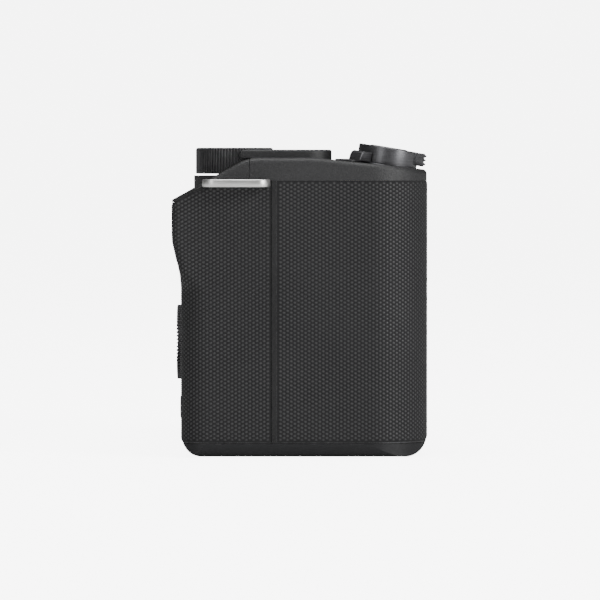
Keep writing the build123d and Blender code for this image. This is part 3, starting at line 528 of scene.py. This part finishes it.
def panelFaces(columns, rows, step):
    # a fine front grid, a coarser back grid, and the rim that joins their borders
    front = np.arange(columns * rows).reshape(columns, rows)
    backRows = (rows - 1) // step + 1
    back = front.size + np.arange(columns * backRows).reshape(columns, backRows)
    faces = gridFaces(columns, rows).tolist() + (gridFaces(columns, backRows) + front.size).tolist()
    for edge in (0, -1):
        near, far = front[:, edge], back[:, edge]
        faces += np.stack([near[:-1], near[1:], far[1:], far[:-1]], -1).tolist()
        for k in range(backRows - 1):
            near = front[edge, k * step:(k + 1) * step + 1]
            faces.append(near.tolist() + back[edge, k:k + 2][::-1].tolist())
    return faces


def dotPanel(name, wrap, length, low, high, replaced):
    # a strip of the body's side: raised dots in front, a plain back, closed round the border
    columns = int(length / gripPattern["columnStep"] * gripPattern["perColumn"]) + 1
    step = gripPattern["backStep"]
    rows = int((high - low) / gripPattern["rowStep"] * gripPattern["perRow"] / step) * step + 1
    along, up = np.meshgrid(np.linspace(0, 1, columns), np.linspace(0, 1, rows), indexing="ij")
    surface, outward, distance, height, border = wrap(along, up)
    plain = gripPattern["plainBorder"]
    rise = dotRise(distance, height) * blendStep(border, plain, 2.2 * plain)
    front = surface + outward * ((rise - 1) * gripPattern["depth"])[..., None]
    back = (surface - outward * gripPattern["backing"])[:, ::step]
    points = np.concatenate([front.reshape(-1, 3), back.reshape(-1, 3)])
    faces = panelFaces(columns, rows, step)
    piece = makeSkin(name, points, "dotRubber", "camera_body", replaced, smoothAngle=70.0, faces=faces)
    addValue(piece, "dot", np.concatenate([rise.ravel(), np.zeros(len(points) - rise.size)]))
    print(name, "faces:", len(piece.data.polygons))


frontWrap = dict(corner=12.2, inner=7.2, footRound=4.8, innerX=-30.5, shelfX=-24.5, shelfY=-14.0, proud=0.2,
                 seamReach=0.09)


def makeFrontPanel():
    # plan: straight side, large arc, straight front, small arc, slanted inner wall
    low, high = boxOf("grip_front_rubber")
    high[2] += frontWrap["seamReach"]
    radius = frontWrap["corner"]
    small = frontWrap["inner"]
    proud = frontWrap["proud"]
    slant = math.atan2(frontWrap["shelfY"] - low[1] - proud, frontWrap["shelfX"] - frontWrap["innerX"])
    cornerX = frontWrap["innerX"] + proud * (1 - math.cos(slant)) / math.sin(slant)
    tangent = small * math.tan(slant / 2)
    sideLength = high[1] - (low[1] + radius)
    frontLength = (cornerX - tangent) - (low[0] + radius)
    innerLength = (high[0] - (cornerX + tangent * math.cos(slant))) / math.cos(slant)
    ends = np.cumsum([sideLength, radius * math.pi / 2, frontLength, small * slant, innerLength])
    foot = frontWrap["footRound"]

    def wrap(along, up):
        # place, outward direction, run, height and distance from the border at shares along and up
        s = along * ends[4]
        z = low[2] + up * (high[2] - low[2])
        bigTurn = np.clip(s - ends[0], 0, ends[1] - ends[0]) / radius
        smallTurn = np.clip(s - ends[2], 0, ends[3] - ends[2]) / small
        onFront = np.clip(s - ends[1], 0, frontLength)
        onInner = np.clip(s - ends[3], 0, None)
        x = low[0] + radius * (1 - np.cos(bigTurn)) + onFront
        x = x + small * np.sin(smallTurn) + onInner * math.cos(slant)
        y = high[1] - np.clip(s, 0, ends[0]) - radius * np.sin(bigTurn)
        y = y + small * (1 - np.cos(smallTurn)) + onInner * math.sin(slant)
        drop = np.clip(foot - z, 0, foot)
        y = np.maximum(y, low[1] + foot - np.sqrt(foot ** 2 - drop ** 2))
        turn = bigTurn + smallTurn
        outward = np.stack([-np.cos(turn), -np.sin(turn), np.zeros_like(turn)], -1)
        border = np.minimum.reduce([s, ends[4] - s, z - low[2], high[2] - z])
        return np.stack([x, y, z], -1), outward, s, z, border

    dotPanel("gripFrontPanel", wrap, ends[4], low[2], high[2], "grip_front_rubber")


rearWrap = dict(corner=5.7, thumbCorner=1.6, foldLow=34.8, foldHigh=40.3, narrowEnd=-48.6, wideEnd=-37.0,
                step=41.0, sideShare=0.54, gridLength=42.0, topFlat=14.0, topBend=20.4, topFall=1.4,
                topSlope=0.4663,
                heights=[0.0, 36.5, 39.0, 41.0, 42.0, 43.0, 44.0, 46.0, 48.0],
                backs=[25.45, 25.45, 25.62, 26.05, 26.35, 26.59, 26.83, 27.27, 27.35])


def makeRearPanel():
    # plan: straight side, corner arc, straight back; the arc tightens and the back swells into a thumb rest
    low, high = boxOf("grip_rear_rubber")
    share = rearWrap["sideShare"]

    def wrap(along, up):
        # the top falls with depth and the depth follows the height, so both are settled in a few rounds
        z = low[2] + up * (high[2] - low[2])
        for settle in range(3):
            fold = blendStep(z, rearWrap["foldLow"], rearWrap["foldHigh"])
            back = np.interp(z, rearWrap["heights"], rearWrap["backs"])
            radius = rearWrap["corner"] + (rearWrap["thumbCorner"] - rearWrap["corner"]) * fold
            endX = np.where(z < rearWrap["step"], rearWrap["narrowEnd"], rearWrap["wideEnd"])
            sideEnd = back - radius - low[1]
            arcEnd = sideEnd + radius * math.pi / 2
            length = arcEnd + endX - (low[0] + radius)
            around = arcEnd * along / share
            s = np.where(along < share, around, arcEnd + (length - arcEnd) * (along - share) / (1 - share))
            turn = np.clip(s - sideEnd, 0, arcEnd - sideEnd) / radius
            y = low[1] + np.clip(s, 0, sideEnd) + radius * np.sin(turn)
            fall = rearWrap["topFall"] * blendStep(y, rearWrap["topFlat"], rearWrap["topBend"])
            fall = fall + rearWrap["topSlope"] * np.clip(y - rearWrap["topBend"], 0, None)
            z = low[2] + up * (high[2] - fall - low[2])
        x = low[0] + radius * (1 - np.cos(turn)) + np.clip(s - arcEnd, 0, None)
        outward = np.stack([-np.cos(turn), np.sin(turn), np.zeros_like(turn)], -1)
        border = np.minimum.reduce([s, length - s, z - low[2], high[2] - fall - z])
        return np.stack([x, y, z], -1), outward, s, z, border

    dotPanel("gripRearPanel", wrap, rearWrap["gridLength"], low[2], high[2], "grip_rear_rubber")


# the hollow colours are painted shade for the hollows between the dots; the pale pair carries the same
# painted shade in lighter patches
rubberLook = dict(hollowShade=(0.002, 0.002, 0.0025), dot=(0.023, 0.023, 0.024), hollowShadePale=(0.004, 0.004, 0.0045),
                  dotPale=(0.032, 0.032, 0.033), dust=(0.2, 0.2, 0.19), hollowRough=0.88, dotRough=0.36,
                  grain=9000.0, shine=0.42)


def makeDotRubber():
    # painted shade darkens the hollows between the dots; the tops are lighter, and smoother where rubbed
    material, tree, shader = newTree("dotRubber")
    where = objectCoordinates(tree)
    dot = place(tree, "ShaderNodeAttribute", attribute_name="dot").outputs["Fac"]
    grain = useGroup(tree, grainGroup, Vector=where, Scale=rubberLook["grain"], Depth=1.0)
    wear = useGroup(tree, wearGroup, Vector=where, Amount=0.1)
    dust = useGroup(tree, dustGroup, Vector=where, Amount=0.15)
    # share from a hollow, painted dark as shade, to the top of a dot
    top = spread(tree, dot, 0.05, 0.75, 0.0, 1.0)
    shade = mixColour(tree, top, colour(*rubberLook["hollowShade"]), colour(*rubberLook["dot"]))
    cloud = spread(tree, noise(tree, where, 50.0, 3.0), 0.3, 0.7, 0.0, 0.3)
    # lighter patches, still with painted shade in the hollows between the dots
    rubbedWithHollowShade = mixColour(tree, top, colour(*rubberLook["hollowShadePale"]), colour(*rubberLook["dotPale"]))
    shade = mixColour(tree, cloud, shade, rubbedWithHollowShade)
    shade = mixColour(tree, dust.outputs["Mask"], shade, colour(*rubberLook["dust"]))
    feed(tree, shader.inputs["Base Color"], shade)
    polish = mathNode(tree, "MULTIPLY", wear.outputs["Handled"], 0.06)
    rough = spread(tree, top, 0.0, 1.0, rubberLook["hollowRough"], rubberLook["dotRough"])
    feed(tree, shader.inputs["Roughness"], mathNode(tree, "SUBTRACT", rough, polish))
    feed(tree, shader.inputs["Normal"], bumpFrom(tree, grain.outputs["Height"], 0.3, 0.00003))
    shader.inputs["Specular IOR Level"].default_value = rubberLook["shine"]
    return material


def roundedProfile(levels, roundings, steps=5):
    # radius and height corners, each rounded by an arc that is tangent to both its neighbours
    corners = np.array(levels, float)
    pieces = [corners[:1]]
    for here, before, after, radius in zip(corners[1:-1], corners[:-2], corners[2:], roundings):
        toBefore = (before - here) / np.linalg.norm(before - here)
        toAfter = (after - here) / np.linalg.norm(after - here)
        t = np.linspace(0, 1, steps)[:, None]
        start = here + toBefore * radius
        end = here + toAfter * radius
        pieces.append((1 - t) ** 2 * start + 2 * t * (1 - t) * here + t ** 2 * end)
    pieces.append(corners[-1:])
    return np.concatenate(pieces)


def turned(profile, count, teeth=0, depth=0.0, toothLow=0.0, toothHigh=0.0, toothRadius=0.0):
    # a profile of radius and height turned about its axis; teeth are clipped cosine flutes in the outside
    angle = np.linspace(0, 2 * math.pi, count, endpoint=False)
    radius = np.repeat(profile[:, :1], count, 1)
    height = np.repeat(profile[:, 1:], count, 1)
    if teeth:
        flute = np.clip(0.5 - 0.75 * np.cos(angle * teeth), 0, 1)[None, :]
        inside = (height > toothLow) & (height < toothHigh) & (radius > toothRadius)
        radius = radius - depth * flute * inside
    return np.stack([radius * np.cos(angle), radius * np.sin(angle), height], -1)


def alongY(points):
    # the turning axis laid along +Y
    return np.stack([points[..., 0], points[..., 2], -points[..., 1]], -1)


dialShape = dict(thick=5.6, samples=640, teeth=80, flute=0.3, foot=0.3, rim=0.55, dish=0.35, hub=2.4)


def makeDial():
    # a turned profile with cosine flutes round the rim and a shallow dish on top
    low, high = boxOf("rear_dial")
    joint = jointOf["dial_turn"]
    centre = np.array([joint["pos_m"][0], joint["pos_m"][1], 0]) / mm
    radius = (high[0] - low[0]) / 2
    bottom = high[2] - dialShape["thick"]
    levels = [(0.5, bottom), (radius - 1.2, bottom), (radius, bottom + 0.02), (radius, high[2]),
              (radius - 1.5, high[2]), (radius - 1.9, high[2] - dialShape["dish"]),
              (dialShape["hub"], high[2] - dialShape["dish"]), (0.4, high[2] - dialShape["dish"] + 0.05)]
    profile = roundedProfile(levels, [0.2, dialShape["foot"], dialShape["rim"], 0.25, 0.15, 0.1])
    points = turned(
        profile, dialShape["samples"], dialShape["teeth"], dialShape["flute"], bottom + 0.1, high[2] - 0.15,
        radius - 0.6,
    )
    makeSkin("commandDial", points + centre, "knurledBlack", "dial", "rear_dial", smoothAngle=50.0)


wheelShape = dict(samples=600, teeth=60, scallop=0.3, flute=0.75, rim=0.3, hubBore=4.95, crest=1.0, dish=0.75,
                  notchShift=0.6, notchSharpness=1.6)


def makeWheel():
    # a turned ring whose raised rim is notched: the notch depth grows with height over the dish
    low, high = boxOf("control_wheel")
    centre = np.array([(low[0] + high[0]) / 2, 0, (low[2] + high[2]) / 2])
    radius = (high[0] - low[0]) / 2
    bore = wheelShape["hubBore"]
    inner = high[1] - wheelShape["dish"]
    crest = radius - wheelShape["crest"]
    levels = [(bore, low[1]), (radius, low[1]), (radius, high[1]), (crest, high[1]), (crest - 0.35, inner),
              (bore + 0.3, inner), (bore, inner - 0.3), (bore, low[1] + 0.01)]
    profile = roundedProfile(levels, [0.15, wheelShape["rim"], 0.2, 0.15, 0.2, 0.1])
    samples = wheelShape["samples"]
    points = turned(
        profile, samples, wheelShape["teeth"], wheelShape["scallop"], low[1] + 0.2, high[1] + 1, crest - 0.3
    )
    angle = np.linspace(0, 2 * math.pi, samples, endpoint=False)
    wave = np.cos(angle * wheelShape["teeth"])
    notch = np.clip(wheelShape["notchShift"] - wheelShape["notchSharpness"] * wave, 0, 1)
    lift = np.clip((points[..., 2] - inner) / wheelShape["dish"], 0, 1)
    points[..., 2] -= lift * notch[None, :] * wheelShape["flute"]
    points = alongY(points) + centre
    makeSkin("thumbWheel", points, "knurledBlack", "wheel", "control_wheel", smoothAngle=50.0)


def fromShutterAxis(points):
    # the shutter group's own axis, tilted forwards, placed in the body
    joint = jointOf["zoom_turn"]
    centre = np.array(joint["pos_m"]) / mm
    up = np.array(joint["axis"], float)
    side = np.array([1.0, 0.0, 0.0])
    forward = np.cross(up, side)
    return centre + points[..., :1] * side + points[..., 1:2] * forward + points[..., 2:] * up


shutterShape = dict(ring=6.45, ringLow=-0.5, lip=5.9, ringTop=3.15, bore=4.1, cap=4.0, capTop=3.3, collar=6.8,
                    tabHalf=2.5, tabReach=8.2, tabBevel=0.25, ridges=3, ridgeHeight=0.32, switchHalf=1.7,
                    switchReach=10.0, switchBevel=0.22, switchTurn=135.0)


def makeShutterGroup():
    # ring, cap and collar are profiles turned about the tilted axis, lipped so no light passes between
    ring = shutterShape["ring"]
    top = shutterShape["ringTop"]
    bore = shutterShape["bore"]
    low = shutterShape["ringLow"]
    lip = shutterShape["lip"]
    levels = [(2.0, low + 0.25), (lip + 0.12, low + 0.25), (lip + 0.12, low), (ring, low), (ring, top),
              (bore + 0.45, top), (bore, top - 0.35), (bore, 0.6), (2.0, 0.6)]
    profile = roundedProfile(levels, [0.02, 0.02, 0.1, 0.3, 0.2, 0.15, 0.1])
    points = fromShutterAxis(turned(profile, 160))
    makeSkin("zoomRing", points, "spunBlack", "zoom", "zoom_lever", smoothAngle=50.0)
    makeZoomTab()
    cap = shutterShape["cap"]
    levels = [(0.4, 1.4), (cap, 1.4), (cap, shutterShape["capTop"]), (cap - 1.6, shutterShape["capTop"]),
              (0.3, shutterShape["capTop"] - 0.12)]
    profile = roundedProfile(levels, [0.1, 0.35, 0.3])
    points = fromShutterAxis(turned(profile, 128))
    makeSkin("shutterCap", points, "spunBlack", "shutter", "shutter_button", smoothAngle=50.0)
    collar = shutterShape["collar"]
    levels = [(1.9, -1.2), (collar, -1.2), (collar, low - 0.05), (lip, low - 0.05), (lip, low + 0.2),
              (1.9, low + 0.2)]
    profile = roundedProfile(levels, [0.15, 0.15, 0.02, 0.02])
    points = fromShutterAxis(turned(profile, 144))
    makeSkin("switchCollar", points, "spunBlack", "power", "power_switch")
    makeSwitchTab()


def slabRings(outline, low, high, bevel):
    # a flat outline stacked upwards, drawn in towards its middle at both ends to round the edges
    middle = outline.mean(0)
    lean = np.array([1.0, 0.3, 0.0, 0.0, 0.3, 1.0]) * bevel
    level = np.array([low, low + 0.3 * bevel, low + bevel, high - bevel, high - 0.3 * bevel, high])
    out = outline - middle
    size = np.abs(out).max(0)
    rings = middle + out[None] * (1 - lean[:, None, None] / size)
    return rings, level


def makeZoomTab():
    # side outline with ridges on its front, stacked sideways
    reach = shutterShape["tabReach"]
    back = -shutterShape["ring"] + 0.9
    t = np.linspace(0, 1, 60)
    height = shutterShape["ridgeHeight"]
    ridge = height * np.clip(np.cos(2 * math.pi * shutterShape["ridges"] * t + math.pi), -0.35, 1)
    front = np.stack([-reach + height - ridge, 0.35 + t * 2.8], -1)
    rear = np.array([[back, 3.1], [back, 0.3]])
    outline = np.concatenate([front, rear])
    half = shutterShape["tabHalf"]
    rings, level = slabRings(outline, -half, half, shutterShape["tabBevel"])
    across = np.repeat(level[:, None], len(outline), 1)
    points = np.stack([across, rings[..., 0], rings[..., 1]], -1)
    makeSkin("zoomTab", fromShutterAxis(points), "spunBlack", "zoom", "zoom_lever")


def makeSwitchTab():
    # a small block standing out of the collar, its outer top edge cut by slanted facets
    turn = math.radians(shutterShape["switchTurn"])
    half = shutterShape["switchHalf"]
    outer = shutterShape["switchReach"]
    inner = shutterShape["ring"] + 0.12
    outline = np.array([[inner, 1.5], [outer - 1.1, 1.5], [outer - 0.45, 1.15], [outer - 0.15, 0.5],
                        [outer, -0.6], [inner, -0.6]])
    rings, level = slabRings(outline, -half, half, shutterShape["switchBevel"])
    across = np.repeat(level[:, None], len(outline), 1)
    x = rings[..., 0] * math.cos(turn) - across * math.sin(turn)
    y = rings[..., 0] * math.sin(turn) + across * math.cos(turn)
    points = np.stack([x, y, rings[..., 1]], -1)
    makeSkin("switchTab", fromShutterAxis(points), "spunBlack", "power", "power_switch", smoothAngle=25.0)


lugShape = dict(barWidth=1.6, cornerRound=2.6, edgeRound=0.3, root=2.2, sectionPoints=24, bendPoints=12)


def makeLugs():
    # each lug is a flat bar with rounded edges, bent through a U that lies level
    low, high = boxOf("strap_lugs")
    half = boxOf("bottom_cover")[1][0]
    bar = lugShape["barWidth"]
    thick = high[2] - low[2]
    turn = np.linspace(0, 2 * math.pi, lugShape["sectionPoints"], endpoint=False)
    section = superRound(turn, bar / 2, thick / 2, lugShape["edgeRound"])
    bend = lugShape["cornerRound"] - bar / 2
    arc = np.linspace(0, math.pi / 2, lugShape["bendPoints"])
    for side in (-1, 1):
        outer = high[0] if side > 0 else -low[0]
        root = half - lugShape["root"]
        reach = outer - bar / 2 - bend
        y0 = low[1] + bar / 2
        y1 = high[1] - bar / 2
        first = np.stack([reach + bend * np.sin(arc), y0 + bend * (1 - np.cos(arc))], -1)
        second = np.stack([reach + bend * np.cos(arc), y1 - bend * (1 - np.sin(arc))], -1)
        line = np.concatenate([[[root, y0]], first, second, [[root, y1]]])
        heading = np.concatenate([[0.0], arc, math.pi / 2 + arc, [math.pi]])
        right = np.stack([np.sin(heading), -np.cos(heading)], -1)
        xy = line[:, None, :] + right[:, None, :] * section[None, :, :1]
        z = (low[2] + high[2]) / 2 + np.repeat(section[None, :, 1], len(line), 0)
        points = np.stack([side * xy[..., 0], xy[..., 1], z], -1)
        name = "strapLoopNear" if side < 0 else "strapLoopFar"
        makeSkin(name, points, "satinSteel", "camera_body", "strap_lugs", smoothAngle=60.0)


def superRound(turn, halfWidth, halfHeight, radius):
    # a rectangle with round corners: the corner centre plus a circle, swept by the turning direction
    direction = np.stack([np.cos(turn), np.sin(turn)], -1)
    centre = np.sign(np.round(direction, 6)) * np.array([halfWidth - radius, halfHeight - radius])
    return centre + direction * radius


# each button's body, its cap's radius and the way the cap faces
buttonRows = {
    "record_button": ("record_key", 2.6, "z"), "custom_button": ("custom_key", 2.1, "z"),
    "mode_button": ("mode_key", 2.1, "z"), "menu_button": ("menu_key", 2.4, "y"),
    "function_button": ("function_key", 2.4, "y"), "playback_button": ("playback_key", 2.4, "y"),
    "delete_button": ("delete_key", 2.4, "y"), "wheel_center_button": ("center_key", 4.3, "y"),
    "lens_release_button": ("release_key", 4.5, "-y"),
}


capShape = dict(middle=0.4, shoulder=0.28, rim=0.8, dish=0.14)


def makeButtons():
    # every cap is turned from one profile: a rounded shoulder and a shallow dish
    for node, (body, radius, axis) in buttonRows.items():
        low, high = boxOf(node)
        centre = (low + high) / 2
        flat = 2 if axis == "z" else 1
        bottom, top = low[flat], high[flat]
        if axis == "-y":
            bottom, top = -high[1], -low[1]
        levels = [(capShape["middle"], bottom), (radius, bottom), (radius, top),
                  (radius - capShape["rim"], top), (0.3, top - capShape["dish"])]
        points = turned(roundedProfile(levels, [0.1, capShape["shoulder"], 0.25]), 96)
        centre[flat] = 0.0
        if axis == "y":
            points = alongY(points)
        if axis == "-y":
            points = alongY(points) * np.array([1.0, -1.0, -1.0])
        name = body.replace("_key", "Cap")
        makeSkin(name, points + centre, "buttonPlastic", body, node, smoothAngle=50.0)


finishes["dotRubber"] = makeDotRubber()
makeFrontPanel()
makeRearPanel()
makeDial()
makeWheel()
makeShutterGroup()
makeLugs()
makeButtons()
print("detailed pieces made")


studio = dict(floorSize=8.0, floorPoints=9, floorTone=0.85, cloudTone=0.82, backdrop=6.5, ambient=0.11,
              aim=(0, 0, 0.035), distance=1.3, tall=1.1,
              frontPower=23.0, frontTurn=48.0, frontLift=0.35, frontWidth=0.55,
              rearPower=6.0, rearTurn=-28.0, rearLift=0.3, rearWidth=0.4,
              topPower=15.0, topPlace=(-0.15, 0.0, 1.1), topSize=0.9)


def whiteToCamera(tree, strength):
    # seen directly the backdrop glows white, but it lights the object only softly
    path = place(tree, "ShaderNodeLightPath")
    return mathNode(tree, "MULTIPLY", path.outputs["Is Camera Ray"], strength)


def makeFloor():
    # a flat sheet of pale paper, far wider than the object
    count = studio["floorPoints"]
    side = np.linspace(-studio["floorSize"], studio["floorSize"], count)
    xs, ys = np.meshgrid(side, side, indexing="ij")
    points = np.stack([xs.ravel(), ys.ravel(), np.zeros(xs.size)], 1)
    mesh = bpy.data.meshes.new("studioFloor")
    mesh.from_pydata(points.tolist(), [], gridFaces(count, count).tolist())
    floor = bpy.data.objects.new("studioFloor", mesh)
    bpy.context.scene.collection.objects.link(floor)
    material, tree, shader = newTree("floorPaper")
    where = objectCoordinates(tree)
    tone = studio["floorTone"]
    cloud = spread(tree, noise(tree, where, 3.0, 3.0), 0.3, 0.7, 0.0, 0.3)
    pale = studio["cloudTone"]
    paper = mixColour(tree, cloud, colour(tone, tone, tone), colour(pale, pale, pale))
    feed(tree, shader.inputs["Base Color"], paper)
    shader.inputs["Roughness"].default_value = 0.9
    shader.inputs["Emission Color"].default_value = colour(1.0, 1.0, 1.0)
    feed(tree, shader.inputs["Emission Strength"], whiteToCamera(tree, studio["backdrop"]))
    mesh.materials.append(material)


def softLight(name, spot, target, size, power):
    # a large soft panel of light that faces the target
    data = bpy.data.lights.new(name, "AREA")
    data.shape = "RECTANGLE"
    data.size, data.size_y = size
    data.energy = power
    light = bpy.data.objects.new(name, data)
    bpy.context.scene.collection.objects.link(light)
    light.location = spot
    direction = Vector(target) - Vector(spot)
    light.rotation_euler = direction.to_track_quat("-Z", "Y").to_euler()


def aroundCamera(turn, lift, distance):
    # a spot that many degrees from the camera's side towards the lens side
    angle = math.radians(turn)
    return (-distance * math.cos(angle), -distance * math.sin(angle), lift)


def makeStudio():
    # pale floor, pale surroundings and three soft lights
    makeFloor()
    world = bpy.data.worlds.new("studioWorld")
    world.use_nodes = True
    tree = world.node_tree
    background = tree.nodes["Background"]
    background.inputs["Color"].default_value = colour(1.0, 1.0, 1.0)
    glow = whiteToCamera(tree, studio["backdrop"])
    feed(tree, background.inputs["Strength"], mathNode(tree, "ADD", glow, studio["ambient"]))
    bpy.context.scene.world = world
    aim = studio["aim"]
    away = studio["distance"]
    tall = studio["tall"]
    spot = aroundCamera(studio["frontTurn"], studio["frontLift"], away)
    softLight("frontLight", spot, aim, (studio["frontWidth"], tall), studio["frontPower"])
    spot = aroundCamera(studio["rearTurn"], studio["rearLift"], away)
    softLight("rearLight", spot, aim, (studio["rearWidth"], tall), studio["rearPower"])
    top = studio["topSize"]
    softLight("topLight", studio["topPlace"], aim, (top, top), studio["topPower"])


camera = dict(away=1.2, height=0.0643, aimHeight=0.0336, aimSide=0.0, viewWidth=0.1272, sensor=36.0,
              clip=0.01)


def makeCamera():
    # a long lens on the grip side; its focal length is sensor width times distance over view width
    data = bpy.data.cameras.new("sideCamera")
    data.sensor_width = camera["sensor"]
    data.clip_start = camera["clip"]
    view = bpy.data.objects.new("sideCamera", data)
    bpy.context.scene.collection.objects.link(view)
    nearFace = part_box("grip_front_rubber")[0].x
    aim = Vector((nearFace, camera["aimSide"], camera["aimHeight"]))
    view.location = Vector((-camera["away"], camera["aimSide"], camera["height"]))
    view.rotation_euler = (aim - view.location).to_track_quat("-Z", "Y").to_euler()
    data.lens = data.sensor_width * (aim - view.location).length / camera["viewWidth"]
    bpy.context.scene.camera = view


makeStudio()
makeCamera()

bpy.context.view_layer.update()
